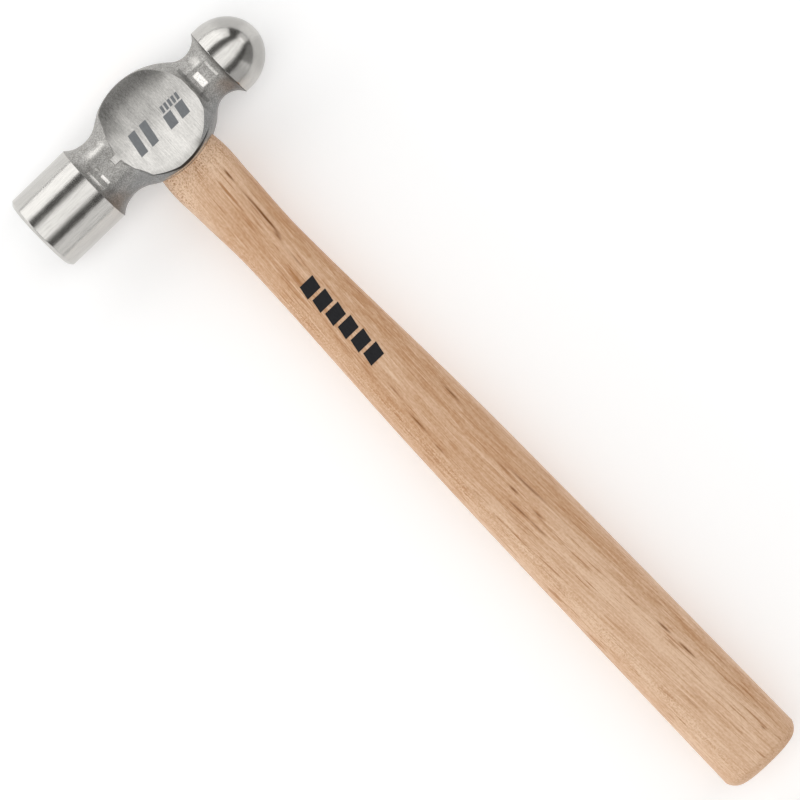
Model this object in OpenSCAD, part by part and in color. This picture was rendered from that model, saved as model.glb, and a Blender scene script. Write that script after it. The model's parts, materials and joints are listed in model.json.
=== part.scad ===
// Ball peen hammer lying on its side: forged steel head, wooden handle and the three wedges in the eye.
// +X runs along the head towards the ball, +Y up out of the top of the eye, +Z out of the upper cheek.
// The origin is the centre of the box round the whole hammer, on the surface that it lies on.

/* [Striking poll] */
// Diameter of the polished poll
poll_d = 30.7; // [26:0.1:36]
// Length of the polished poll, from the striking face to the neck
poll_len = 26; // [20:0.1:32]
// Chamfer round the striking face
face_chamfer = 1.3; // [0.5:0.1:3]

/* [Necks] */
// Distance across the flats of the poll's neck at its waist
poll_neck_d = 24.5; // [22:0.1:27]
// Radius of the hollow along the poll's neck
poll_neck_r = 11.2; // [9:0.1:14]
// Distance across the flats of the ball's neck at its waist
ball_neck_d = 19.3; // [17:0.1:22]
// Radius of the hollow along the ball's neck
ball_neck_r = 7.6; // [6:0.1:9]
// How far the necks' ridges stand out, as a share of the distance to their flats
neck_ridge = 0.05; // [0.03:0.01:0.08]

/* [Cheeks] */
// Height of the cheeks, along the handle
cheek_h = 37.6; // [36:0.1:42]
// Radius of the crown over and under the eye
cheek_r = 27.7; // [26:0.1:32]
// Thickness between the two ground cheeks
cheek_t = 25; // [24.6:0.1:28]
// Chamfer along the cheeks' rims
cheek_chamfer = 1.2; // [0.6:0.1:2]
// Radius of the flank that rises from the necks' diagonal flats to the rims
flank_r = 23.8; // [22:0.1:27]

/* [Ball peen] */
// Diameter of the ball
ball_d = 27.8; // [26:0.1:30]
// Distance from the ball's widest place to its end
ball_reach = 15.1; // [14:0.1:17]
// Length of the ball's edge between the neck and its widest place
ball_land = 2.2; // [1:0.1:3]

/* [Eye and wedges] */
// Length of the eye's narrow part, along the head
eye_len = 22.8; // [20:0.1:24]
// Width of the eye's narrow part, across the head
eye_w = 15; // [13:0.1:16]
// How much wider the eye is at its top
eye_flare = 2; // [1:0.1:3]
// How far the wood lies below the head's crown
flush_gap = 0.4; // [0.1:0.1:1]
// Depth of the saw kerf below the crown
kerf_depth = 26; // [20:0.5:30]
// Thickness of the wooden wedge at its foot
wedge_foot = 0.8; // [0.5:0.1:1.5]
// Thickness of the wooden wedge at the crown
wedge_top = 2.8; // [2:0.1:4]
// Width of a steel wedge
steel_wedge_w = 12; // [8:0.5:13]
// Length of a steel wedge
steel_wedge_len = 16; // [10:0.5:20]
// Thickness of a steel wedge at its head
steel_wedge_t = 2.4; // [1.5:0.1:3]
// Distance between the two steel wedges
steel_wedge_gap = 11; // [8:0.5:13]

/* [Handle] */
// Distance from the eye's centre to the butt end
handle_reach = 305.4; // [280:0.1:340]
// Width at the shoulder under the head
shoulder_w = 25.3; // [24:0.1:28]
// Width at the waist, the narrowest place
waist_w = 22.4; // [20:0.1:25]
// Width where the grip begins
grip_w = 29.5; // [27:0.1:32]
// Width at the butt
butt_w = 31.9; // [29:0.1:35]
// Thickness at the shoulder
shoulder_t = 18.2; // [16:0.1:20]
// Thickness at the butt
butt_t = 24.2; // [21:0.1:27]
// Rounding round the butt end
butt_round = 3.8; // [2:0.1:6]
// Squareness of the handle's section: 2 is an ellipse, larger is squarer
squareness = 2.7; // [2:0.1:3.5]

/* [Hidden] */
$fn = 96;
far = 60;
steel = "#b8b5b0";
bright_steel = "#d4d3d1";
wood = "#dcb586";
dark_wood = "#b98750";

poll_r = poll_d / 2;
poll_waist = poll_neck_d / 2;
ball_waist = ball_neck_d / 2;
ball_r = ball_d / 2;
crown = cheek_h / 2;
cheek_z = cheek_t / 2;
// Distance from the head's axis to the centre of each hollow, and of the crown's arc
poll_hollow_y = poll_waist + poll_neck_r;
ball_hollow_y = ball_waist + ball_neck_r;
crown_y = crown - cheek_r;

// Places along the head, from the eye's centre: each hollow is tangent to the crown's arc
function leg(hyp, side) = sqrt(hyp * hyp - side * side);
poll_neck_x = -leg(poll_neck_r + cheek_r, poll_hollow_y - crown_y);
ball_neck_x = leg(ball_neck_r + cheek_r, ball_hollow_y - crown_y);
poll_edge_x = poll_neck_x - leg(poll_neck_r, poll_hollow_y - poll_r);
ball_edge_x = ball_neck_x + leg(ball_neck_r, ball_hollow_y - ball_r);
face_x = poll_edge_x - poll_len;
ball_x = ball_edge_x + ball_land;
ball_end_x = ball_x + ball_reach;

// The handle's shape: distance from the eye's centre, width and thickness
handle_rows = [
    [13.0, shoulder_w - 2.6, shoulder_t - 1.8],
    [23.8, shoulder_w, shoulder_t],
    [60.5, waist_w, shoulder_t - 0.8],
    [138.5, (waist_w + 2.7 * grip_w) / 3.7, (shoulder_t + butt_t) / 2],
    [188.0, grip_w, butt_t - 1.4],
    [handle_reach, butt_w, butt_t],
];

// Puts a piece that is drawn about the eye's centre into the hammer's frame
module placed() {
    translate([-(face_x + ball_end_x) / 2, (handle_reach - crown) / 2, poll_r]) children();
}

// Where a hollow gives way to an arc: on the line between their centres
function seam_x(hollow_x, hollow_y, hollow_r, arc_y) =
    hollow_x * (1 - hollow_r / norm([hollow_x, hollow_y - arc_y]));

// The hollows along both necks
module hollows() {
    for (side = [-1, 1]) {
        translate([poll_neck_x, side * poll_hollow_y]) circle(poll_neck_r);
        translate([ball_neck_x, side * ball_hollow_y]) circle(ball_neck_r);
    }
}

// One of the forging's outlines: both necks and, between them, an arc that rises to peak
module outline(peak, arc_r) {
    arc_y = peak - arc_r;
    poll_seam = seam_x(poll_neck_x, poll_hollow_y, poll_neck_r, arc_y);
    ball_seam = seam_x(ball_neck_x, ball_hollow_y, ball_neck_r, arc_y);
    difference() {
        union() {
            translate([poll_edge_x, -poll_hollow_y])
                square([poll_seam - poll_edge_x, 2 * poll_hollow_y]);
            intersection() {
                translate([0, arc_y]) circle(arc_r);
                translate([0, -arc_y]) circle(arc_r);
            }
            translate([ball_seam, -ball_hollow_y])
                square([ball_edge_x - ball_seam, 2 * ball_hollow_y]);
        }
        hollows();
    }
}

// The outline seen along the handle: the same necks, with the cheeks ground flat between them
module ground_outline() {
    difference() {
        union() {
            translate([poll_edge_x, -poll_r]) square([poll_neck_x - poll_edge_x, poll_d]);
            translate([poll_neck_x, -cheek_z]) square([ball_neck_x - poll_neck_x, cheek_t]);
            translate([ball_neck_x, -ball_r]) square([ball_edge_x - ball_neck_x, ball_d]);
        }
        hollows();
    }
}

// A straight bar with one of the outlines as its section, its flats turned about the head's axis
module bar(turn) {
    rotate([turn, 0, 0]) translate([0, 0, -far]) linear_extrude(2 * far) children();
}

// The forging between the poll and the ball: eight flats on the necks, cheeks ground flat
module forging() {
    flank = (crown - cheek_chamfer + cheek_z) / sqrt(2);
    intersection() {
        bar(0) outline(crown, cheek_r);
        bar(90) ground_outline();
        for (turn = [45, 135]) bar(turn) outline(flank, flank_r);
        ridge_trim();
    }
}

// Round body that takes the points off the necks' ridges, so they fade out at the poll and the ball
module ridge_trim() {
    rotate([0, 90, 0]) rotate_extrude() rotate(90) mirror([0, 1]) polygon([
        [poll_edge_x, 0], [poll_edge_x, poll_r],
        [poll_neck_x, poll_waist * (1 + neck_ridge)],
        [-crown / 2, crown * 1.25], [crown / 2, crown * 1.25],
        [ball_neck_x, ball_waist * (1 + neck_ridge)],
        [ball_edge_x, ball_r], [ball_edge_x, 0]]);
}

module poll() {
    rotate([0, 90, 0]) {
        translate([0, 0, face_x])
            cylinder(h = face_chamfer, r1 = poll_r - face_chamfer, r2 = poll_r);
        translate([0, 0, face_x + face_chamfer])
            cylinder(h = poll_len - face_chamfer, r = poll_r);
    }
}

// Solid middle that runs from inside the poll to inside the ball
module core() {
    overlap = 1;
    rotate([0, 90, 0]) translate([0, 0, poll_edge_x - overlap])
        cylinder(h = ball_edge_x - poll_edge_x + 2 * overlap, r = ball_waist - overlap);
}

module ball() {
    steps = 24;
    profile = [for (i = [0:steps]) [ball_r * cos(90 * i / steps), ball_reach * sin(90 * i / steps)]];
    rotate([0, 90, 0]) {
        translate([0, 0, ball_edge_x]) cylinder(h = ball_land, r = ball_r);
        translate([0, 0, ball_x]) rotate_extrude() polygon(concat(profile, [[0, 0]]));
    }
}

// The eye: straight from below, flared over its upper half so that the wedged wood can't pull out
module eye_space() {
    end_x = (eye_len - eye_w) / 2;
    low_r = eye_w / 2;
    high_r = low_r + eye_flare / 2;
    rotate([-90, 0, 0]) {
        for (side = [-1, 1]) translate([side * end_x, 0, 0]) {
            translate([0, 0, -1.5 * crown]) cylinder(h = 1.5 * crown, r = low_r);
            cylinder(h = 1.1 * crown, r1 = low_r, r2 = high_r);
        }
        rotate([0, 90, 0]) translate([0, 0, -end_x]) linear_extrude(2 * end_x)
            polygon([[1.5 * crown, -low_r], [0, -low_r], [-1.1 * crown, -high_r],
                     [-1.1 * crown, high_r], [0, low_r], [1.5 * crown, low_r]]);
    }
}

// Everything under the crown's arc, less a gap
module under_crown(gap) {
    translate([0, crown_y, -far]) cylinder(h = 2 * far, r = cheek_r - gap);
}

// The saw kerf that the wooden wedge fills
module kerf() {
    rotate([90, 0, 90]) translate([0, 0, -far / 2]) linear_extrude(far)
        polygon([[crown - kerf_depth, -wedge_foot / 2], [crown + 1, -wedge_top / 2],
                 [crown + 1, wedge_top / 2], [crown - kerf_depth, wedge_foot / 2]]);
}

// One steel wedge, driven across the wooden one; side is -1 towards the poll, 1 towards the ball
module steel_wedge(side) {
    color(bright_steel) intersection() {
        under_crown(flush_gap);
        translate([side * steel_wedge_gap / 2, 0, -steel_wedge_w / 2]) linear_extrude(steel_wedge_w)
            polygon([[-steel_wedge_t / 8, crown - steel_wedge_len], [steel_wedge_t / 8, crown - steel_wedge_len],
                     [steel_wedge_t / 2, crown + 1], [-steel_wedge_t / 2, crown + 1]]);
    }
}

module head() {
    color(steel) difference() {
        union() {
            poll();
            forging();
            ball();
            core();
        }
        eye_space();
    }
}

// Smooth run through the handle's rows: col picks width or thickness
function slope(i, col) =
    let (a = handle_rows[max(i - 1, 0)], b = handle_rows[min(i + 1, len(handle_rows) - 1)])
    (b[col] - a[col]) / (b[0] - a[0]);
function row_at(y, i = 0) = i >= len(handle_rows) - 2 || y <= handle_rows[i + 1][0] ? i : row_at(y, i + 1);
function handle_size(y, col) =
    let (i = row_at(y), a = handle_rows[i], b = handle_rows[i + 1], span = b[0] - a[0], t = (y - a[0]) / span)
    a[col] * (1 + 2 * t) * pow(1 - t, 2) + b[col] * (3 - 2 * t) * t * t
    + slope(i, col) * span * t * pow(1 - t, 2) - slope(i + 1, col) * span * t * t * (1 - t);
function squared(v) = sign(v) * pow(abs(v), 2 / squareness);

// One ring of points round the handle, drawn in by inset
function handle_ring(y, inset, sides) = [for (i = [0:sides - 1])
    let (a = 360 * i / sides)
    [(handle_size(y, 1) / 2 - inset) * squared(cos(a)), -y, (handle_size(y, 2) / 2 - inset) * squared(sin(a))]];

// The shaft and grip, as rings joined into one closed skin
module shaft() {
    sides = 40;
    start = handle_rows[0][0];
    body_end = handle_reach - butt_round;
    along = [for (i = [0:34]) start + (body_end - start) * i / 34];
    rings = concat(
        [for (y = along) handle_ring(y, 0, sides)],
        [for (a = [18:18:90]) handle_ring(body_end + butt_round * sin(a), butt_round * (1 - cos(a)), sides)]);
    last = len(rings) - 1;
    polyhedron(
        points = [for (ring = rings) each ring],
        faces = concat(
            [[for (i = [0:sides - 1]) i]],
            [for (k = [0:last - 1], i = [0:sides - 1], half = [0, 1])
                let (a = k * sides, b = (k + 1) * sides, j = (i + 1) % sides)
                half == 0 ? [a + j, a + i, b + i] : [a + j, b + i, b + j]],
            [[for (i = [sides - 1:-1:0]) last * sides + i]]));
}

module handle() {
    color(wood) difference() {
        union() {
            difference() {
                shaft();
                mirror([0, 1, 0]) under_crown(0);
            }
            intersection() {
                eye_space();
                under_crown(flush_gap);
            }
        }
        kerf();
        for (side = [-1, 1]) steel_wedge(side);
    }
}

module wooden_wedge() {
    color(dark_wood) difference() {
        intersection() {
            eye_space();
            kerf();
            under_crown(flush_gap);
        }
        for (side = [-1, 1]) steel_wedge(side);
    }
}

placed() head();
placed() handle();
placed() wooden_wedge();
placed() steel_wedge(-1);  // steel_wedge_poll
placed() steel_wedge(1);  // steel_wedge_peen
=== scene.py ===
"""A ball peen hammer lying on its side: forged steel head, lacquered wooden handle, wedges in the eye."""
import json
import math

import bmesh
import bpy
import numpy as np
from mathutils import Matrix, Vector


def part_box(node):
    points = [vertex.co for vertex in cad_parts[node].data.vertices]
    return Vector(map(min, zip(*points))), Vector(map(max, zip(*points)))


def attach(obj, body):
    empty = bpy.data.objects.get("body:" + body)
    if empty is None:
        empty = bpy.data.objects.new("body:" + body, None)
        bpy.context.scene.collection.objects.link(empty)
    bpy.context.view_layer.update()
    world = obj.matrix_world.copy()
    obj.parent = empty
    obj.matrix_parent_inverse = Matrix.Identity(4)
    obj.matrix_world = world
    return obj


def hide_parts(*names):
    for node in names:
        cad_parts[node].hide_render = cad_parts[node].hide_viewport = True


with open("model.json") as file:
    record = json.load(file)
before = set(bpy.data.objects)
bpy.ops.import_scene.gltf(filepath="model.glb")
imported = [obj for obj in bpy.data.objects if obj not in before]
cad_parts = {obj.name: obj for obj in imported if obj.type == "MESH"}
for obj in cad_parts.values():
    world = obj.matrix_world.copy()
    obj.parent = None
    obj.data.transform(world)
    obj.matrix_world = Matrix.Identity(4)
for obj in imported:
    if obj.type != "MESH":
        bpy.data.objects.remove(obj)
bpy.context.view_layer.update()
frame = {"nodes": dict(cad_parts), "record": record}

MM = 0.001
mounts = {m["name"]: m for m in frame["record"]["mounts"]}
head_low, head_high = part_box("head")
handle_low, handle_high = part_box("handle")

# The eye's centre, where the head's and the handle's axes cross: shapes are worked out about it
eye = Vector((mounts["upper_cheek"]["pos_m"][0], mounts["upper_cheek"]["pos_m"][1],
              mounts["striking_face"]["pos_m"][2]))

# Head, along X from the eye's centre
poll_r = (head_high.z - head_low.z) / 2
crown = head_high.y - eye.y
cheek_z = mounts["upper_cheek"]["pos_m"][2] - eye.z
face_x = head_low.x - eye.x
ball_end_x = head_high.x - eye.x
poll_edge_x = face_x + 26.0 * MM
ball_reach = 15.1 * MM
ball_r = 13.9 * MM
ball_x = ball_end_x - ball_reach
ball_edge_x = ball_x - 2.2 * MM
poll_waist, poll_hollow_r = 12.25 * MM, 11.2 * MM
ball_waist, ball_hollow_r = 9.65 * MM, 7.6 * MM
crown_arc_r = 27.7 * MM
flank_peak, flank_arc_r = 21.3 * MM, 23.8 * MM
raw_cheek, raw_cheek_arc_r = 15 * MM, 250 * MM
poll_neck_x = poll_edge_x + math.sqrt(poll_hollow_r**2 - (poll_waist + poll_hollow_r - poll_r)**2)
ball_neck_x = ball_edge_x - math.sqrt(ball_hollow_r**2 - (ball_waist + ball_hollow_r - ball_r)**2)

# Eye
eye_half_w = 7.5 * MM
eye_end_x = 3.9 * MM
eye_flare = 1.0 * MM
flush_gap = 0.4 * MM

# Handle: distance from the eye's centre down to the butt, width and thickness
butt_w = handle_high.x - handle_low.x
butt_t = handle_high.z - handle_low.z
handle_reach = eye.y - handle_low.y
HANDLE_ROWS = [
    (13.0 * MM, 22.7 * MM, 16.4 * MM),
    (22.8 * MM, 25.0 * MM, 18.2 * MM),
    (34.0 * MM, 24.0 * MM, 18.0 * MM),
    (60.5 * MM, 22.1 * MM, 17.4 * MM),
    (138.5 * MM, 27.6 * MM, 21.2 * MM),
    (188.0 * MM, 29.5 * MM, 22.8 * MM),
    (handle_reach, butt_w, butt_t),
]


# ---------------------------------------------------------------- meshes

def link(name, mesh):
    piece = bpy.data.objects.new(name, mesh)
    bpy.context.scene.collection.objects.link(piece)
    return piece


def skin(name, rings):
    """A closed tube through rings of equally many points, with each end closed by one face."""
    count = len(rings[0])
    points = np.concatenate(rings)
    faces = []
    for k in range(len(rings) - 1):
        a, b = k * count, (k + 1) * count
        for i in range(count):
            j = (i + 1) % count
            faces.append((a + i, a + j, b + j, b + i))
    faces.append(tuple(range(count - 1, -1, -1)))
    faces.append(tuple(range(len(points) - count, len(points))))
    mesh = bpy.data.meshes.new(name)
    mesh.from_pydata(points.tolist(), [], faces)
    mesh.update()
    return link(name, mesh)


def face_outwards(piece):
    """Welds doubled points and turns every face outwards."""
    shape = bmesh.new()
    shape.from_mesh(piece.data)
    bmesh.ops.remove_doubles(shape, verts=shape.verts, dist=1e-6)
    bmesh.ops.recalc_face_normals(shape, faces=shape.faces)
    shape.to_mesh(piece.data)
    shape.free()


def carve(piece, tool, operation):
    """Applies an exact boolean of piece with tool, and removes the tool."""
    cut = piece.modifiers.new("cut", "BOOLEAN")
    cut.operation = operation
    cut.solver = "EXACT"
    cut.object = tool
    bpy.context.view_layer.update()
    result = piece.evaluated_get(bpy.context.evaluated_depsgraph_get())
    mesh = bpy.data.meshes.new_from_object(result)
    piece.modifiers.clear()
    old = piece.data
    piece.data = mesh
    bpy.data.meshes.remove(old)
    bpy.data.objects.remove(tool)


def smooth_by_angle(piece, degrees):
    mesh = piece.data
    mesh.polygons.foreach_set("use_smooth", [True] * len(mesh.polygons))
    mesh.set_sharp_from_angle(angle=math.radians(degrees))


# ---------------------------------------------------------------- head

def smooth_step(v):
    v = np.clip(v, 0, 1)
    return v * v * (3 - 2 * v)


def flat_distance(x, peak, arc_r):
    """Distance from the head's axis to one of the forging's flats: hollow, arc up to peak, hollow."""
    arc_y = peak - arc_r
    poll_hollow_y = poll_waist + poll_hollow_r
    ball_hollow_y = ball_waist + ball_hollow_r
    poll_seam = poll_neck_x * (1 - poll_hollow_r / math.hypot(poll_neck_x, poll_hollow_y - arc_y))
    ball_seam = ball_neck_x * (1 - ball_hollow_r / math.hypot(ball_neck_x, ball_hollow_y - arc_y))
    poll_hollow = poll_hollow_y - math.sqrt(max(poll_hollow_r**2 - (x - poll_neck_x)**2, 0))
    ball_hollow = ball_hollow_y - math.sqrt(max(ball_hollow_r**2 - (x - ball_neck_x)**2, 0))
    if x < poll_seam:
        return poll_hollow
    if x > ball_seam:
        return ball_hollow
    distance = arc_y + math.sqrt(max(arc_r**2 - x * x, 0))
    if abs(x - poll_neck_x) < poll_hollow_r:
        distance = min(distance, poll_hollow)
    if abs(x - ball_neck_x) < ball_hollow_r:
        distance = min(distance, ball_hollow)
    return distance


def forging_radius(x, angle):
    """
    Radius of the forging's section at x: eight soft-edged flats that turn round at both ends.

    Towards the poll each cheek rises to a low gable, and sinks a little so that grinding leaves it in a V.
    """
    softness, gable_lean, sink = 22, math.radians(10), 0.7 * MM
    round_by_poll, round_by_ball = 6 * MM, 4 * MM
    side = flat_distance(x, crown, crown_arc_r)
    diagonal = flat_distance(x, flank_peak, flank_arc_r)
    front = flat_distance(x, raw_cheek, raw_cheek_arc_r)
    front = front - sink * float(smooth_step((-x - 11 * MM) / (4 * MM)))
    total = 0
    for turn, distance in ((0, side), (45, diagonal), (135, diagonal)):
        total = total + np.abs(np.cos(angle - math.radians(turn)) / distance) ** softness
    gable = gable_lean * float(smooth_step((-x - 8 * MM) / (8 * MM)))
    for lean in (-gable, gable):
        plane = np.abs(np.cos(angle - math.pi / 2 - lean) / (front * math.cos(gable))) ** softness
        # Where there is no gable both planes are the same one, so each counts half
        total = total + plane * (1 if gable else 0.5)
    flats = total ** (-1 / softness)
    from_poll = (x - poll_edge_x) / round_by_poll
    from_ball = (ball_edge_x - x) / round_by_ball
    faceted = smooth_step(min(from_poll, from_ball))
    return forging_pad(x, angle, flats * faceted + side * (1 - faceted))


def forging_pad(x, angle, radius):
    """A small raised pad in the middle of the poll neck, which the grinding belt just catches."""
    start, end, half_width = -19.1 * MM, -15.5 * MM, 1.3 * MM
    height = cheek_z + 0.15 * MM
    if not start < x < end:
        return radius
    on_pad = (np.abs(radius * np.cos(angle)) < half_width) & (np.sin(angle) > 0)
    return np.where(on_pad, np.maximum(radius, height / np.maximum(np.abs(np.sin(angle)), 0.5)), radius)


def arc_run(centre, radius, start, end, steps):
    """Points (x, radius) along an arc of the head's profile, angles in degrees from +X."""
    return [(centre[0] + radius * math.cos(math.radians(a)), centre[1] + radius * math.sin(math.radians(a)))
            for a in np.linspace(start, end, steps)]


def turned(profile, angle):
    """A ring about the head's axis for each (x, radius) of a profile."""
    return [np.stack([np.full(len(angle), x), r * np.cos(angle), r * np.sin(angle)], 1) for x, r in profile]


def poll_profile():
    """The poll from the middle of its domed face, round the chamfer, to its back edge."""
    chamfer, edge_r, face_dome = 1.3 * MM, 0.35 * MM, 0.25 * MM
    face_r = poll_r - chamfer
    profile = [(face_x + face_dome * (r / face_r)**2, r) for r in np.linspace(0.02, 0.97, 12) * face_r]
    profile += arc_run((face_x + face_dome + edge_r, face_r - 0.1 * MM), edge_r, 175, 135, 4)
    profile += arc_run((face_x + chamfer + 0.25 * MM, poll_r - edge_r), edge_r, 130, 92, 5)
    profile += [(x, poll_r) for x in np.linspace(face_x + chamfer + 0.6 * MM, poll_edge_x - 0.25 * MM, 24)]
    return profile + [(poll_edge_x - 0.08 * MM, poll_r - 0.03 * MM)]


def ball_profile():
    """The ball from its crisp back edge to its tip."""
    edge_r = 0.35 * MM
    profile = arc_run((ball_edge_x + edge_r, ball_r - edge_r), edge_r, 175, 92, 5)
    profile += [(x, ball_r) for x in np.linspace(ball_edge_x + 0.6 * MM, ball_x, 4)]
    return profile + [(ball_x + ball_reach * math.sin(a), ball_r * math.cos(a))
                      for a in np.linspace(0.03, math.pi / 2 - 0.012, 48)]


def head_blank():
    """The whole head before its cheeks are ground and its eye is cut, as rings about the head's axis."""
    angle = np.linspace(0, 2 * math.pi, 256, endpoint=False)
    seam = 0.02 * MM
    stations = np.linspace(poll_edge_x + seam, ball_edge_x - seam, 190)
    forging = [(x, forging_radius(x, angle)) for x in stations]
    return skin("head", turned(poll_profile() + forging + ball_profile(), angle))


def cheek_height(x, y):
    """Height of the ground cheek: flat, rolled off towards the top of the head by the grinding belt."""
    roll_start, roll_drop, lean = 5 * MM, 2.2 * MM, math.radians(5)
    reach = np.hypot(x, y) + 1e-9
    towards = smooth_step(((y * math.cos(lean) - x * math.sin(lean)) / reach - 0.35) / 0.6)
    roll = np.clip((reach - roll_start) / (crown - roll_start), 0, 1.2) ** 2
    return cheek_z - roll_drop * roll * towards


def grinding_slab():
    """What the belt leaves of the cheeks: a slab with the ground surfaces, open wide over the necks."""
    clear = 2 * poll_r
    across = np.linspace(-clear, clear, 120)
    inner = np.linspace(poll_neck_x + 0.2 * MM, ball_neck_x - 0.2 * MM, 110)
    before, after = [face_x * 2, poll_neck_x - 1 * MM], [ball_neck_x + 1 * MM, ball_end_x * 2]
    along = np.concatenate([before, inner, after])
    rows = []
    for x in along:
        open_wide = x < inner[0] or x > inner[-1]
        height = np.full(len(across), clear) if open_wide else cheek_height(x, across)
        top = np.stack([np.full(len(across), x), across, height], 1)
        bottom = np.stack([np.full(len(across), x), across[::-1], -height[::-1]], 1)
        rows.append(np.concatenate([top, bottom]))
    return skin("grinding_slab", rows)


def eye_ring(y, r, count=96):
    """The eye's outline at height y: two half circles of radius r with straight sides between."""
    steepness = 60
    angle = np.linspace(0, 2 * math.pi, count, endpoint=False)
    x = r * np.cos(angle) + eye_end_x * np.tanh(np.cos(angle) * steepness)
    return np.stack([x, np.full(count, y), r * np.sin(angle)], 1)


def eye_radius(y):
    return eye_half_w + eye_flare * np.clip(y / (1.1 * crown), 0, 1)


def eye_cutter():
    heights = np.concatenate([[-1.3 * crown, 0], np.linspace(0.1, 1.3, 13) * crown])
    return skin("eye_cutter", [eye_ring(y, eye_radius(y)) for y in heights])


def place_at_eye(piece):
    piece.data.transform(Matrix.Translation(eye))


def head_faces(piece, materials):
    """Gives each face of the head the material that its place calls for."""
    for material in materials:
        piece.data.materials.append(material)
    forged, polished, ground = range(3)
    nearly_level, touching = 0.8, 0.03 * MM
    for face in piece.data.polygons:
        x, y, z = face.center
        off_cheek = abs(abs(z) - float(cheek_height(x, y)))
        face.material_index = forged
        if x < poll_edge_x or x > ball_edge_x:
            face.material_index = polished
        elif abs(face.normal.z) > nearly_level and poll_neck_x < x < ball_neck_x and off_cheek < touching:
            face.material_index = ground


def seam_edges(piece):
    """Makes the edges between two materials crisp."""
    shape = bmesh.new()
    shape.from_mesh(piece.data)
    for edge in shape.edges:
        if len({face.material_index for face in edge.link_faces}) > 1:
            edge.smooth = False
    shape.to_mesh(piece.data)
    shape.free()


def make_head(materials):
    head = head_blank()
    face_outwards(head)
    slab = grinding_slab()
    face_outwards(slab)
    carve(head, slab, "INTERSECT")
    cutter = eye_cutter()
    face_outwards(cutter)
    carve(head, cutter, "DIFFERENCE")
    head_faces(head, materials)
    smooth_by_angle(head, 32)
    seam_edges(head)
    place_at_eye(head)
    return head


# ---------------------------------------------------------------- handle

def handle_size(at, column):
    """Width or thickness of the handle at a distance from the eye's centre, smooth through its rows."""
    rows = HANDLE_ROWS
    i = max(k for k in range(len(rows) - 1) if k == 0 or rows[k][0] <= at)

    def slope(k):
        a, b = rows[max(k - 1, 0)], rows[min(k + 1, len(rows) - 1)]
        return (b[column] - a[column]) / (b[0] - a[0])

    a, b = rows[i], rows[i + 1]
    span = b[0] - a[0]
    t = (at - a[0]) / span
    return (a[column] * (1 + 2 * t) * (1 - t)**2 + b[column] * (3 - 2 * t) * t * t
            + slope(i) * span * t * (1 - t)**2 - slope(i + 1) * span * t * t * (1 - t))


def handle_outline(half_w, half_t, angle):
    """The handle's section: flat faces and sides with soft bevels between them."""
    softness, bevel_cut = 9, 0.745
    across, upright = 0.5 * half_t, 0.46 * half_w
    bevel = Vector((across, upright)).normalized()
    bevel_at = bevel_cut * half_w * half_t / math.hypot(across, upright)
    cos, sin = np.cos(angle), np.sin(angle)
    total = np.abs(cos / half_w) ** softness + np.abs(sin / half_t) ** softness
    total = total + np.abs((cos * bevel.x + sin * bevel.y) / bevel_at) ** softness
    total = total + np.abs((cos * bevel.x - sin * bevel.y) / bevel_at) ** softness
    r = total ** (-1 / softness)
    return r * cos, r * sin


def handle_ring(at, inset, angle):
    x, z = handle_outline(handle_size(at, 1) / 2 - inset, handle_size(at, 2) / 2 - inset, angle)
    return np.stack([x, np.full(len(angle), -at), z], 1)


def crown_edge(x):
    """How far the head's lower edge lies from the eye's centre, at a distance x along the head."""
    return crown - crown_arc_r + np.sqrt(crown_arc_r**2 - x**2)


def butt_rings(angle):
    """The butt's slightly domed end and the band chamfered round it, and how far down the body ends."""
    band_len, band_depth, dome, corner_round = 3.8 * MM, 4.6 * MM, 0.5 * MM, 1.6 * MM
    inner = handle_ring(handle_reach, band_depth, angle)
    rings = [inner * [share, 1, share] + [0, dome * share**2, 0] for share in np.linspace(0.02, 0.97, 10)]
    band_foot = math.radians(14)
    for a in np.linspace(math.pi / 2, band_foot, 14):
        sunk = band_depth * (1 - (math.cos(a) / math.cos(band_foot)))
        back = dome + (band_len - dome) * (1 - math.sin(a)) / (1 - math.sin(band_foot))
        rings.append(handle_ring(handle_reach, sunk, angle) + [0, back, 0])
    for ring in rings:
        ring[:, 1] += corner_round * np.abs(2 * ring[:, 0] / butt_w) ** 3
    return rings, handle_reach - band_len - corner_round


def make_handle(material):
    count = 192
    angle = np.linspace(0, 2 * math.pi, count, endpoint=False)
    rings, body_end = butt_rings(angle)
    shoulder, rim, tenon_start = 26 * MM, 17.5 * MM, 14 * MM
    for at in np.linspace(body_end - 0.2 * MM, shoulder, 260):
        rings.append(handle_ring(at, 0, angle))
    for share in np.linspace(0, 1, 16)[1:]:
        ring = handle_ring(shoulder + (rim - shoulder) * share, 0, angle)
        ring[:, 1] = -(shoulder + (crown_edge(ring[:, 0]) - shoulder) * share)
        rings.append(ring)
    tenon_foot = eye_ring(-crown, eye_radius(-crown), count)
    tenon_foot[:, 1] = -crown_edge(tenon_foot[:, 0])
    rings.append(tenon_foot)
    for y in np.linspace(-tenon_start, 0.8 * crown, 24):
        rings.append(eye_ring(y, eye_radius(y), count))
    top_r = crown_arc_r - flush_gap
    for share in np.linspace(1, 0.02, 14):
        ring = eye_ring(crown, eye_radius(crown), count) * [share, 1, share]
        ring[:, 1] = crown - crown_arc_r + np.sqrt(top_r**2 - ring[:, 0]**2)
        rings.append(ring)
    handle = skin("handle", rings)
    face_outwards(handle)
    for tool in wedge_slots():
        face_outwards(tool)
        carve(handle, tool, "DIFFERENCE")
    handle.data.materials.append(material)
    smooth_by_angle(handle, 40)
    place_at_eye(handle)
    return handle


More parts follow.
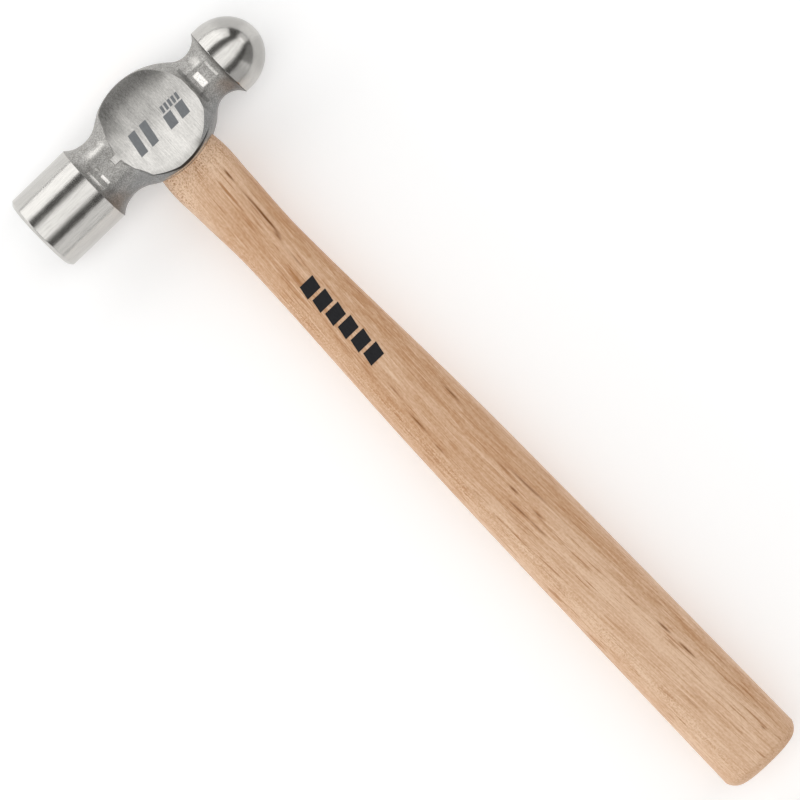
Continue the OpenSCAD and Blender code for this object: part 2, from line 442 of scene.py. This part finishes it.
def wedge_slots():
    """The saw kerf and the two slots that the wedges fill, a hair wider than the wedges."""
    above = crown + 1 * MM
    kerf_low, kerf_foot, kerf_top, half_len = crown - 26 * MM, 0.42 * MM, 1.42 * MM, 16 * MM
    rings = [np.array([(x, kerf_low, -kerf_foot), (x, above, -kerf_top),
                       (x, above, kerf_top), (x, kerf_low, kerf_foot)])
             for x in (-half_len, half_len)]
    slots = [skin("kerf", rings)]
    slot_foot, slot_top, play = 0.32 * MM, 1.22 * MM, 0.02 * MM
    for node in ("steel_wedge_poll", "steel_wedge_peen"):
        low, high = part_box(node)
        low, high = low - eye, high - eye
        middle = (low.x + high.x) / 2
        rings = [np.array([(middle - slot_foot, low.y, z), (middle - slot_top, above, z),
                           (middle + slot_top, above, z), (middle + slot_foot, low.y, z)])
                 for z in (low.z - play, high.z + play)]
        slots.append(skin("slot_" + node, rings))
    return slots


# ---------------------------------------------------------------- finishes

class Value:
    """A shader socket that can be used in arithmetic: an expression on values adds its Math nodes."""

    def __init__(self, finish, socket):
        self.finish = finish
        self.socket = socket

    def math(self, operation, other=0.5, swapped=False):
        pair = (other, self) if swapped else (self, other)
        return self.finish.add("ShaderNodeMath", {"operation": operation}, {0: pair[0], 1: pair[1]})

    def __add__(self, other):
        return self.math("ADD", other)

    def __radd__(self, other):
        return self.math("ADD", other)

    def __sub__(self, other):
        return self.math("SUBTRACT", other)

    def __rsub__(self, other):
        return self.math("SUBTRACT", other, swapped=True)

    def __mul__(self, other):
        return self.math("MULTIPLY", other)

    def __rmul__(self, other):
        return self.math("MULTIPLY", other)

    def __pow__(self, other):
        return self.math("POWER", other)

    def __truediv__(self, other):
        return self.math("DIVIDE", other)

    def __abs__(self):
        return self.math("ABSOLUTE")

    def clamped(self):
        return self.finish.add("ShaderNodeClamp", {}, {"Value": self})

    def ramp(self, low, high):
        """0 below low, 1 above high, smooth between."""
        return self.finish.add("ShaderNodeMapRange", {"interpolation_type": "SMOOTHSTEP"},
                               {"Value": self, "From Min": low, "From Max": high})


class Finish:
    """A material built round one Principled shader."""

    def __init__(self, name, **constants):
        self.material = bpy.data.materials.new(name)
        self.material.use_nodes = True
        self.nodes = self.material.node_tree.nodes
        self.links = self.material.node_tree.links
        self.shader = self.nodes["Principled BSDF"]
        for socket, value in constants.items():
            self.shader.inputs[socket.replace("_", " ")].default_value = value
        self.where = self.add("ShaderNodeTexCoord", {}, {}, "Object")

    def feed(self, socket, value):
        """Links a Value to a socket, or sets the socket to a constant."""
        if isinstance(value, Value):
            self.links.new(value.socket, socket)
        else:
            socket.default_value = value

    def add(self, kind, settings, inputs, output=0):
        """Adds a node with its settings and inputs, and gives one of its outputs as a Value."""
        node = self.nodes.new(kind)
        for name, value in settings.items():
            setattr(node, name, value)
        for name, value in inputs.items():
            self.feed(node.inputs[name], value)
        return Value(self, node.outputs[output])

    def vector(self, operation, first, second=(0, 0, 0), output=0):
        return self.add("ShaderNodeVectorMath", {"operation": operation}, {0: first, 1: second}, output)

    def along(self, axis):
        """How far along X, Y or Z each point lies."""
        return self.add("ShaderNodeSeparateXYZ", {}, {0: self.where}, axis)

    def noise(self, scale, stretch=(1, 1, 1), detail=2.0, roughness=0.5):
        """
        Soft noise from 0 to 1 over the object.

        scale is in features per metre; a stretch below 1 draws them out along that axis.
        """
        return self.add("ShaderNodeTexNoise", {},
                        {"Vector": self.vector("MULTIPLY", self.where, stretch), "Scale": scale,
                         "Detail": detail, "Roughness": roughness})

    def blend(self, share, first, second):
        """A colour between first and second."""
        factor, colour_a, colour_b, mixed = 0, 6, 7, 2
        inputs = {factor: share, colour_a: first, colour_b: second}
        return self.add("ShaderNodeMix", {"data_type": "RGBA"}, inputs, mixed)

    def colour(self, value):
        self.feed(self.shader.inputs["Base Color"], value)

    def roughness(self, value):
        self.feed(self.shader.inputs["Roughness"], value)

    def bump(self, height, distance, strength=1.0):
        inputs = {"Height": height, "Distance": distance, "Strength": strength}
        self.feed(self.shader.inputs["Normal"], self.add("ShaderNodeBump", {}, inputs))


def steel_tint(v):
    """A slightly warm grey."""
    return (v * 1.025, v, v * 0.955, 1)


def polished_steel():
    """Turned and polished poll and ball, a little smeared, with painted shade on the ball's handle side,
    and darker towards the ball's tip.
    """
    finish = Finish("polished_steel", Metallic=1.0)
    fine = finish.noise(420, detail=3)
    wide = finish.noise(60)
    wiped = finish.noise(1400, (0.12, 1, 1), 3)
    x, y = finish.along("X"), finish.along("Y")
    # Painted shade on the ball's handle side: its colour is darkened there
    handle_side_shade = x.ramp(eye.x + 25 * MM, eye.x + 27 * MM) * (1 - y.ramp(eye.y - 6.5 * MM, eye.y - 4.5 * MM))
    handle_side_shade = handle_side_shade * y.ramp(eye.y - 12.5 * MM, eye.y - 9 * MM) * (1 - x.ramp(eye.x + 34 * MM, eye.x + 40 * MM))
    # Darker towards the ball's tip, except in a narrow strip along its axis
    tip = 0.12 + abs(y - eye.y).ramp(1.5 * MM, 4.5 * MM) * 0.4
    tip = tip * x.ramp(eye.x + 36.5 * MM, eye.x + 41 * MM)
    base = finish.blend(wide, steel_tint(0.52), steel_tint(0.60))
    base = finish.blend(wiped.ramp(0.35, 0.75) * 0.5, base, steel_tint(0.45))
    base = finish.blend(tip, base, steel_tint(0.3))
    finish.colour(finish.blend(handle_side_shade * 0.5, base, steel_tint(0.16)))
    finish.roughness(0.12 + fine * 0.1 + wiped * 0.05)
    finish.bump(fine + wiped * 0.4, 0.03 * MM, 0.5)
    return finish.material


def upper_patch(finish, x_range, y_range, soft):
    """1 on a patch of the upper side, given about the eye's centre in millimetres."""
    mask = finish.along("Z").ramp(eye.z, eye.z + 2 * MM)
    for axis, (low, high), centre in (("X", x_range, eye.x), ("Y", y_range, eye.y)):
        low, high, edge = centre + low * MM, centre + high * MM, soft * MM
        place = finish.along(axis)
        mask = mask * place.ramp(low - edge, low + edge) * (1 - place.ramp(high - edge, high + edge))
    return mask


def crown_distance(finish):
    """Distance in plan from the centre of the crown's arc on the handle's side."""
    offset = finish.vector("SUBTRACT", finish.where, (eye.x, eye.y + crown_arc_r - crown, 0))
    return finish.vector("LENGTH", finish.vector("MULTIPLY", offset, (1, 1, 0)), output="Value")


def rim_dark_reflection(finish):
    """1 in the narrow band between the ground cheek and the crown's corner that is painted dark, a painted
    reflection.
    """
    side = finish.along("X") - eye.x
    below = 1 - finish.along("Y").ramp(eye.y - 13 * MM, eye.y - 10 * MM)
    drift = side * -0.2 - 0.6 * MM
    drift = (drift + abs(drift)) * 0.5
    offset = abs(crown_distance(finish) + drift - (crown_arc_r - 1.1 * MM))
    half_width = abs(side) * -0.03 + 0.5 * MM
    dark_reflection = 1 - (offset / half_width).ramp(0.75, 1.25)
    return dark_reflection * (1 - abs(side).ramp(11 * MM, 14 * MM)) * below


# Patches on the necks' upper side: ends along X, ends along Y, softness and strength, in millimetres about
# the eye's centre, and how patchy they are: the noise levels where they start and are whole
# Smoother rubbed patches, whose colour is also lightened as a painted highlight
RUBBED_AND_HIGHLIGHT_PATCHES = [
    ((21.1, 23.6), (-3.0, 2.3), 0.2, 1, None),
    ((27.3, 28.2), (-3.3, 3.0), 0.2, 0.7, None),
    ((-25.4, -24.4), (-4.2, -0.6), 0.2, 1, None),
    ((-25.0, -24.5), (-4.2, 2.7), 0.15, 0.7, (0.4, 0.6)),
    ((-27.9, -27.1), (-4.6, 3.2), 0.2, 0.8, None),
    ((-28.1, -24.5), (-4.4, 4.0), 0.3, 0.5, (0.45, 0.65)),
    ((-24.5, -17.0), (6.0, 8.2), 1.2, 0.6, (0.3, 0.6)),
    ((23.8, 26.8), (4.0, 7.0), 1.0, 0.6, None),
]
# Dark bands at the steep wall where the cheek ends towards the ball, and where the necks meet the poll and
# the ball: painted shade
PAINTED_SHADE_BANDS = [
    ((18.4, 19.7), (-7.7, 7.5), 0.25, 1, None),
    ((29.6, 31.5), (-11, 9), 0.6, 0.6, None),
    ((-29.6, -28.4), (-11, 9), 0.3, 0.5, None),
]


def upper_patches(finish, patches, noise):
    total = 0
    for x_range, y_range, soft, strength, patchy in patches:
        patch = upper_patch(finish, x_range, y_range, soft) * strength
        if patchy:
            patch = patch * noise.ramp(*patchy)
        total = patch + total
    return total


def forged_steel():
    """Grey forging skin, mottled and speckled and smoothed in patches, with painted highlights on those
    patches and along the crown's corner, and painted shade in dark bands, in the V towards the poll, along
    the crown's lower edge and on the handle's side.
    """
    finish = Finish("forged_steel", Metallic=0.8)
    grain = finish.noise(2300)
    patch = finish.noise(300, detail=3)
    blotch = finish.noise(420, detail=4, roughness=0.6)
    speckle = grain.ramp(0.3, 0.75)
    x, y = finish.along("X"), finish.along("Y")
    from_arc = crown_distance(finish)
    rim = (1 - abs(x - eye.x).ramp(7 * MM, 11 * MM)) * (1 - y.ramp(eye.y - 13 * MM, eye.y - 10 * MM))
    corner = crown_arc_r - 0.3 * MM
    rubbed_and_highlight = upper_patches(finish, RUBBED_AND_HIGHLIGHT_PATCHES, patch).clamped()
    # Painted highlight: a bright line along the crown's corner
    rubbed_and_highlight = rubbed_and_highlight + rim * (1 - abs(from_arc - corner).ramp(0.15 * MM, 0.3 * MM))
    # Painted shade in the dark bands
    scale = upper_patches(finish, PAINTED_SHADE_BANDS, patch)
    # Painted shadow along the crown's lower edge, next to the wood
    scale = scale + rim * from_arc.ramp(crown_arc_r - 0.1 * MM, crown_arc_r + 0.05 * MM)

    # Painted shade in the crease where the ground cheek ends in a V towards the poll
    off_axis = abs(y - eye.y)
    crease_shade = 1 - abs(x - (off_axis * 0.42 + (eye.x - 17.6 * MM))).ramp(0.15 * MM, 0.5 * MM)
    crease_shade = crease_shade * (1 - off_axis.ramp(13 * MM, 16 * MM)) * off_axis.ramp(1.5 * MM, 3 * MM)

    # Painted shade on the handle's side of the forging
    below = 1 - y.ramp(eye.y - 12 * MM, eye.y - 3 * MM)
    base = finish.blend(speckle, steel_tint(0.27), steel_tint(0.55))
    base = finish.blend(blotch.ramp(0.4, 0.7) * 0.4, base, (0.2, 0.19, 0.175, 1))
    base = finish.blend(below * 0.5, base, (0.18, 0.19, 0.2, 1))
    # Painted shade: the dark bands, the crease and the crown's lower edge are darkened
    base = finish.blend((scale + crease_shade * 0.8).clamped() * 0.6, base, steel_tint(0.12))
    # Painted reflection: a dark band along the crown's corner
    base = finish.blend(rim_dark_reflection(finish) * 0.92, base, steel_tint(0.02))
    # Painted highlight: the rubbed patches and the crown's corner are lightened; their lower roughness is
    # real
    finish.colour(finish.blend(rubbed_and_highlight * (0.7 + speckle * 0.3), base, steel_tint(0.85)))
    finish.roughness((0.36 + patch * 0.12) * (1 - rubbed_and_highlight * 0.45))
    finish.bump((grain * 0.6 + patch * 0.4) * (1 - rubbed_and_highlight * 0.85), 0.12 * MM, 0.9)
    return finish.material


def ground_steel():
    """Cheeks ground on a belt: fine lines along the handle, with painted shade where the belt rolled the
    surface off and along the crown's edge.
    """
    finish = Finish("ground_steel", Metallic=1.0)
    lines = finish.noise(3600, (1, 0.045, 1), 4, 0.75)
    speck = finish.noise(2600, (1, 0.5, 1), 2)
    broad = finish.noise(260, (1, 0.25, 1), 3)
    y = finish.along("Y")
    # Painted shade where the cheek rolls off towards the top of the head
    rolled = y.ramp(eye.y - 5 * MM, eye.y + 3.5 * MM) * 0.32
    rolled = rolled + y.ramp(eye.y + 10 * MM, eye.y + 15 * MM) * 0.2
    cover = (lines - 0.5) * 1.1 + (speck - 0.5) * 0.5 + (broad - 0.5) * 0.5 + 0.68 - rolled
    base = finish.blend(cover.clamped(), steel_tint(0.22), steel_tint(0.74))
    # Painted shade along the cheek's edge by the crown
    edge = crown_distance(finish).ramp(crown_arc_r - 5 * MM, crown_arc_r - 1.8 * MM) * 0.3
    edge = edge + upper_patch(finish, (6.2, 10.5), (-17, -14.6), 1.5) * 0.4
    base = finish.blend(edge, base, steel_tint(0.14))
    # Painted reflection: a dark band along the crown's corner
    finish.colour(finish.blend(rim_dark_reflection(finish) * 0.92, base, steel_tint(0.02)))
    finish.roughness(0.26 + lines * 0.14)
    finish.bump(lines, 0.04 * MM, 0.6)
    return finish.material


# Resin streaks near the upper face: how far down from the eye's centre, how far to the ball's side and half
# length, in millimetres, and strength; the weak ones only turn the wood brown
STREAKS = [
    (30.3, 6.5, 3, 0.75), (37, 6.1, 8, 0.4), (50, 5.5, 9, 1.1), (57.5, 4.2, 3, 0.8), (68, 3.0, 7, 0.7),
    (47, 4.1, 14, 0.34), (45, 2.9, 10, 0.22),
    (137.5, 9.7, 6, 0.8), (123.5, -3.6, 4, 0.7), (137.5, -5.5, 6, 0.9), (148.5, -6.3, 4, 0.7),
    (178.5, 6.6, 12, 0.9), (169, 5.0, 6, 0.7), (176.3, 2.3, 3, 1.0), (188.5, 2.3, 3, 0.9),
    (183, -1.2, 7, 1.0), (193, -0.9, 4, 0.8), (168, -8.8, 5, 0.4), (181, -8.6, 4, 0.4),
    (246, 6.7, 4, 1.1), (257, 7.0, 5, 1.0), (232, 5.2, 6, 0.6), (265, 2.8, 4, 0.5),
    (272, -1.4, 6, 0.5), (271, -4.4, 7, 0.6), (294.3, 7.3, 1.6, 0.8),
]


def grain_bend(down):
    """How far the grain has bowed sideways at a distance down the handle; works on numbers and Values."""
    turn, tightness, slope = 150 * MM, 30 * MM, 0.065
    return (((down - turn) * (down - turn) + tightness**2) ** 0.5) * slope


def resin_streaks(finish):
    """0 away from the streaks, rising along the bowed grain towards the middle of each to its strength."""
    half_width, depth = 0.8 * MM, 9 * MM
    halo = 0
    for down, side, half_length, strength in STREAKS:
        centre = (eye.x + side * MM - grain_bend(down * MM), eye.y - down * MM, eye.z + depth)
        spread = (1 / half_width, 1 / (half_length * 1.45 * MM), 1 / depth)
        offset = finish.vector("MULTIPLY", finish.vector("SUBTRACT", finish.where, centre), spread)
        halo = (1 - finish.vector("LENGTH", offset, output="Value")).clamped() * strength + halo
    return halo.clamped()


def handle_wood():
    """Pale lacquered hardwood: tones and fibres along a bowed grain, resin streaks, pores down one side."""
    finish = Finish("handle_wood", Specular_IOR_Level=0.3)
    light, mid = (0.80, 0.56, 0.385, 1), (0.53, 0.275, 0.13, 1)
    brown, dark = (0.37, 0.14, 0.03, 1), (0.17, 0.05, 0.004, 1)
    pit_brown, pale_fleck = (0.42, 0.19, 0.075, 1), (0.88, 0.66, 0.48, 1)
    x, y, z = finish.along("X"), finish.along("Y"), finish.along("Z")
    grain_x = x - grain_bend(eye.y - y)
    finish.where = finish.add("ShaderNodeCombineXYZ", {}, {"X": grain_x, "Y": y, "Z": z})
    tone = finish.noise(90, (1, 0.09, 1), 3)
    fibre = finish.noise(1200, (1, 0.035, 1), 5, 0.7)
    sand = finish.noise(1700, (1, 0.5, 1))
    hair = finish.noise(2300, (1, 0.03, 1), 2, 0.6)
    dash = finish.noise(1000, (1, 0.05, 1), 3, 0.6)
    dash_cloud = finish.noise(70, (1, 0.3, 1))
    clump = finish.noise(160, (1, 0.3, 1))
    pit = finish.noise(2000, (1, 0.8, 1), 1)

    # Tone: painted shade on the ball's side, darker towards the head, and pale again close to it
    ball_side_shade = x.ramp(eye.x + 5 * MM, eye.x + 12 * MM)
    near_head = y.ramp(eye.y - 240 * MM, eye.y - 60 * MM)
    by_head = y.ramp(eye.y - 34 * MM, eye.y - 20 * MM)
    # Paler close to the head: partly the wood's own pale tone, partly painted light against the head's
    # shadow
    pale_tone_and_painted_light = y.ramp(eye.y - 55 * MM, eye.y - 24 * MM)
    shade = (tone - 0.5) * 1.6 + (fibre - 0.5) * 1.6 + (sand - 0.5) * 0.9 + 0.33
    shade = shade + (hair - 0.5) + ball_side_shade * 0.2 + near_head * 0.3 - pale_tone_and_painted_light * 0.5
    base = finish.blend(shade.clamped(), light, mid)

    # Pores: a band of them down the poll's side, and all round close to the head
    pore_band = (1 - abs(x - (eye.x - 9.5 * MM)) / (4.5 * MM)).clamped()
    pore_band = (pore_band * 0.65 + by_head).clamped()
    pores = pit.ramp(0.54, 0.64) * (0.2 + by_head * 0.3 + clump.ramp(0.45, 0.65) * 0.5) * pore_band
    pale = (1 - pit.ramp(0.36, 0.5)) * pore_band * 0.6 + (1 - hair.ramp(0.3, 0.45)) * 0.3
    base = finish.blend(pores.clamped(), base, pit_brown)
    base = finish.blend(pale.clamped(), base, pale_fleck)

    # The chamfer round the butt is cut across the grain, so it is darker
    band = 1 - y.ramp(handle_low.y + 3.5 * MM, handle_low.y + 3.9 * MM)
    base = finish.blend(band * 0.2, base, mid)

    # Brown dashes and specks, and the resin streaks with a brown halo
    halo = resin_streaks(finish)
    fine_dark = dash.ramp(0.56, 0.70) * dash_cloud.ramp(0.36, 0.58)
    specks = hair.ramp(0.6, 0.72) * clump.ramp(0.4, 0.6) * 0.5
    marked = (halo * 0.75 + fine_dark * 0.7 + specks).clamped()
    streaks = (halo * 2.2 + (hair - 0.5) * 2.5 * halo - 0.85).clamped() * 0.9
    finish.colour(finish.blend(streaks, finish.blend(marked, base, brown), dark))
    finish.roughness(0.44 + fibre * 0.16)
    finish.bump(fibre * 0.6 + (1 - marked) * 0.5 + sand * 0.3, 0.08 * MM, 0.5)
    return finish.material


def tinted(colour, factor, extra=0.0):
    return tuple(min(c * factor + extra, 1) for c in colour[:3]) + (1,)


def wedge_finish(name, colour, metallic):
    """A wedge, sawn or sheared, a little streaky along the head."""
    finish = Finish(name, Metallic=metallic)
    grain = finish.noise(1500, (0.15, 1, 1), 3)
    finish.colour(finish.blend(grain, tinted(colour, 0.7), colour))
    finish.roughness(0.4 + grain * 0.2)
    finish.bump(grain, 0.05 * MM, 0.5)
    return finish.material


def ink(name, colour):
    """Printed ink, a little uneven where it has taken on the surface under it."""
    finish = Finish(name, Specular_IOR_Level=0.15)
    cover = finish.noise(1800, (1, 0.4, 1))
    finish.colour(finish.blend(cover, colour, tinted(colour, 1.3, 0.01)))
    finish.roughness(0.7 + cover * 0.15)
    return finish.material


# ---------------------------------------------------------------- printed marks

def printed_blocks(name, blocks, height_at, material):
    """Plain slanted blocks of ink, each (left, right, low, high) about the eye's centre, on a surface."""
    steps, slant, sunk, proud = 6, 0.18, 0.03 * MM, 0.035 * MM
    row, sheet = steps + 1, (steps + 1)**2
    rim = list(range(steps)) + [steps + row * j for j in range(steps)]
    rim += [row * steps + steps - j for j in range(steps)] + [row * (steps - j) for j in range(steps)]
    points, faces = [], []
    for left, right, low, high in blocks:
        start = len(points)
        for lift in (proud, -sunk):
            for j in range(row):
                for i in range(row):
                    y = low + (high - low) * j / steps
                    x = left + (right - left) * i / steps + slant * (y - (low + high) / 2)
                    points.append((x, y, height_at(x, y) + lift))
        for j in range(steps):
            for i in range(steps):
                a = start + j * row + i
                faces.append((a, a + 1, a + row + 1, a + row))
                faces.append((a + sheet + row, a + sheet + row + 1, a + sheet + 1, a + sheet))
        for a, b in zip(rim, rim[1:] + rim[:1]):
            faces.append((start + a, start + a + sheet, start + b + sheet, start + b))
    mesh = bpy.data.meshes.new(name)
    mesh.from_pydata(points, [], faces)
    mesh.materials.append(material)
    piece = link(name, mesh)
    face_outwards(piece)
    place_at_eye(piece)
    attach(piece, "root")


def cheek_marks():
    """Two tall blocks, two short ones and a row of five tiny ones on the upper cheek."""
    tall, short, tiny = (-5.8 * MM, 2.8 * MM), (-6.0 * MM, -0.8 * MM), (-0.2 * MM, 2.4 * MM)
    tall_wide, short_wide, tiny_wide = 3.1 * MM, 3.6 * MM, 1.1 * MM
    blocks = [(left, left + tall_wide, *tall) for left in (-9.8 * MM, -4.6 * MM)]
    blocks += [(left, left + short_wide, *short) for left in (3.8 * MM, 9.2 * MM)]
    tiny_start, tiny_pitch = 5.4 * MM, 1.7 * MM
    blocks += [(left, left + tiny_wide, *tiny) for left in (tiny_start + tiny_pitch * i for i in range(5))]
    printed_blocks("cheek_marks", blocks, lambda x, y: float(cheek_height(x, y)),
                   ink("grey_ink", (0.17, 0.178, 0.185, 1)))


def handle_marks():
    """Six blocks in a row along the handle; they stand with their tops towards the ball's side."""
    first, pitch, gap = -75.3 * MM, 6.3 * MM, 1.3 * MM
    foot, top = -3.1 * MM, 3.0 * MM
    blocks = [(foot, top, first - pitch * (i + 1) + gap, first - pitch * i) for i in range(6)]
    printed_blocks("handle_marks", blocks, lambda x, y: handle_size(-y, 2) / 2,
                   ink("black_ink", (0.012, 0.012, 0.014, 1)))


# ---------------------------------------------------------------- studio

def make_camera():
    """Looks straight down, a little from the ball's side, with the handle running down to the right."""
    distance, field = 2.07, 0.2759
    tilt, roll = math.radians(3.2), math.radians(46.14)
    target = eye + Vector((-5.15 * MM, -127.07 * MM, 0))
    back = Vector((math.sin(tilt), 0, math.cos(tilt)))
    right = Vector((math.sin(roll), -math.cos(roll), 0))
    right = (right - back * right.dot(back)).normalized()
    up = back.cross(right)
    data = bpy.data.cameras.new("camera")
    data.sensor_width = 36
    data.lens = data.sensor_width * distance / field
    data.clip_end = 20
    camera = bpy.data.objects.new("camera", data)
    turn = Matrix((right, up, back)).transposed().to_4x4()
    camera.matrix_world = Matrix.Translation(target + back * distance) @ turn
    bpy.context.scene.collection.objects.link(camera)
    bpy.context.scene.camera = camera


def make_floor():
    half_side, below = 3, 0.2 * MM
    shape = bmesh.new()
    bmesh.ops.create_grid(shape, x_segments=8, y_segments=8, size=half_side)
    mesh = bpy.data.meshes.new("floor")
    shape.to_mesh(mesh)
    shape.free()
    floor = link("floor", mesh)
    floor.location.z = -below
    finish = Finish("pale_floor", Roughness=0.9, Emission_Color=(1, 1, 1, 1), Emission_Strength=0.22)
    finish.colour((0.93, 0.93, 0.93, 1))
    mesh.materials.append(finish.material)


def panel(name, towards, low, high, distance, along, radiance):
    """
    A long soft panel, seen from the head between two angles from the vertical towards one side.

    The angles are in degrees, and along gives where it starts and ends on the axis across that side.
    """
    middle, half = math.radians((low + high) / 2), math.radians((high - low) / 2)
    width, length = 2 * distance * math.tan(half), along[1] - along[0]
    data = bpy.data.lights.new(name, "AREA")
    data.shape = "RECTANGLE"
    data.size = length
    data.size_y = width
    data.energy = radiance * width * length * math.pi
    light = bpy.data.objects.new(name, data)
    out = towards * math.sin(middle) + Vector((0, 0, math.cos(middle)))
    side = Vector((abs(towards.y), abs(towards.x), 0))
    centre = eye + out * distance + side * (along[0] + along[1]) / 2
    turn = Matrix((side, out.cross(side), out)).transposed().to_4x4()
    light.matrix_world = Matrix.Translation(centre) @ turn
    light.visible_camera = False
    bpy.context.scene.collection.objects.link(light)


def make_studio():
    """Panels that give the polished steel its bands: overhead, at both sides and at both ends."""
    top, face = Vector((0, 1, 0)), Vector((-1, 0, 0))
    panel("overhead_core", top, -21, 16.5, 2.4, (-4.5, 7), 0.69)
    panel("overhead_edge", top, -28, 23.5, 2.45, (-4.5, 7), 0.64)
    panel("top_side", top, 44.5, 86.8, 1.5, (-4, 1.8), 1.58)
    panel("handle_side", -top, 48.8, 88, 1.6, (-4, 0.9), 0.86)
    panel("handle_side_far", -top, 48.8, 88, 1.6, (0.9, 4), 0.27)
    panel("face_end", face, 64, 88, 4.5, (-3.5, 3.5), 0.9)
    panel("ball_end", -face, 68, 88, 4.5, (-0.8, 1.1), 0.8)
    world = bpy.data.worlds.new("studio")
    world.use_nodes = True
    world.node_tree.nodes["Background"].inputs["Color"].default_value = (0.08, 0.078, 0.075, 1)
    bpy.context.scene.world = world
    bpy.context.scene.view_settings.view_transform = "Standard"


make_camera()
make_floor()
make_studio()

head = make_head([forged_steel(), polished_steel(), ground_steel()])
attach(head, "root")
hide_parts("head")

handle = make_handle(handle_wood())
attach(handle, "root")
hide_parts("handle")

cheek_marks()
handle_marks()

wedge_wood = wedge_finish("wedge_wood", (0.30, 0.16, 0.06, 1), 0.0)
wedge_steel = wedge_finish("wedge_steel", steel_tint(0.5), 1.0)
for node, material in (("wooden_wedge", wedge_wood),
                       ("steel_wedge_poll", wedge_steel),
                       ("steel_wedge_peen", wedge_steel)):
    for slot in frame["nodes"][node].material_slots:
        slot.material = material
